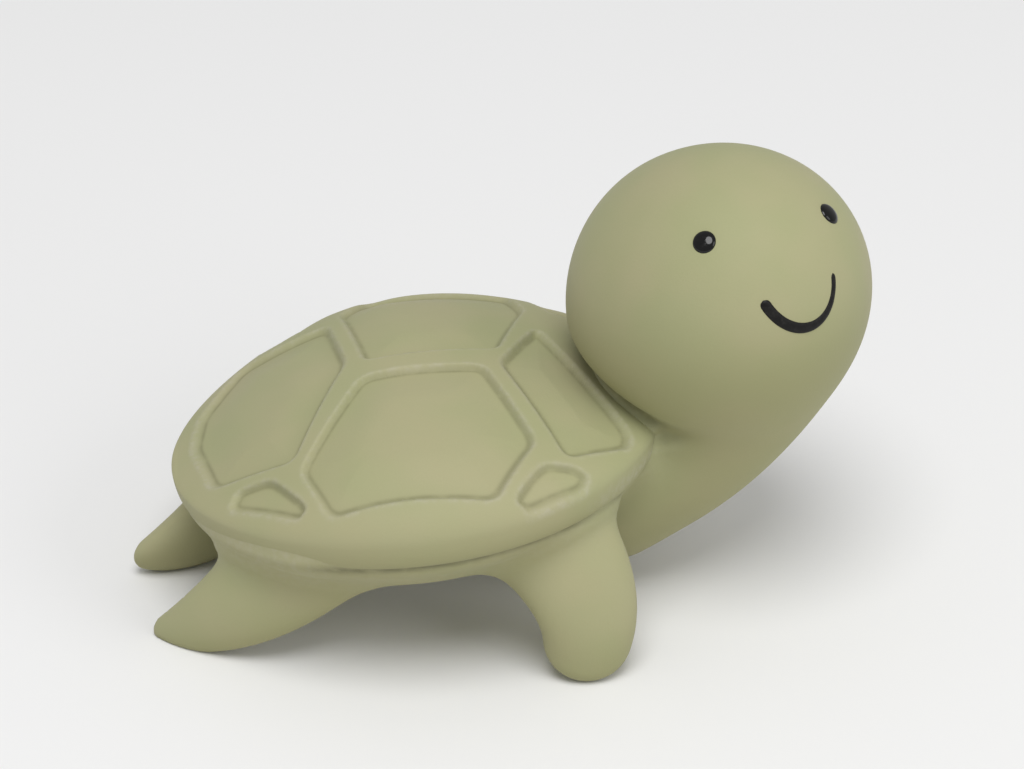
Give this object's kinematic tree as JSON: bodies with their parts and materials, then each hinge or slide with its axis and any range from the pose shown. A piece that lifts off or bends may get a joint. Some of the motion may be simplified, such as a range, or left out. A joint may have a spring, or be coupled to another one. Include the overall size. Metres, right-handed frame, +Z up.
{
  "type": "squeaky bath toy",
  "caption": "Hollow rubber turtle bath toy standing on its flippers with its head turned aside; squeezing the domed back blows a reed squeaker set in the belly.",
  "frame": {"origin": "on the floor under the middle of the toy's bounding box", "axes": "+X from the hind flippers to the head, +Y to the turtle's left, +Z up"},
  "size_m": [0.1282, 0.077, 0.0828],
  "materials": {
    "rubber": "matte",
    "eye_paint": "gloss",
    "smile_paint": "satin",
    "squeaker_plastic": "satin",
    "reed_film": "satin"
  },
  "bodies": {
    "turtle": {"shell_rim": "rubber", "belly_skin": "rubber", "head_skin": "rubber", "front_right_flipper": "rubber", "front_left_flipper": "rubber", "hind_right_flipper": "rubber", "hind_left_flipper": "rubber", "right_eye": "eye_paint", "left_eye": "eye_paint", "smile": "smile_paint", "squeaker_barrel": "squeaker_plastic", "sound_cap": "squeaker_plastic", "reed_seat": "squeaker_plastic", "reed_clamp": "squeaker_plastic"},
    "crown": {"back_crown": "rubber"},
    "tongue": {"reed": "reed_film"}
  },
  "joints": [
    {"name": "back_press", "type": "slide", "parent": "turtle", "child": "crown", "axis": [0.1045, 0, -0.9945], "range_m": [0, 0.006], "stiffness_N_per_m": 1700},
    {"name": "reed_flutter", "type": "hinge", "parent": "turtle", "child": "tongue", "pos_m": [-0.01814, 0, 0.02252], "axis": [-0.9945, 0, -0.1045], "range_deg": [0, 5], "stiffness_Nm_per_rad": 0.0002}
  ]
}
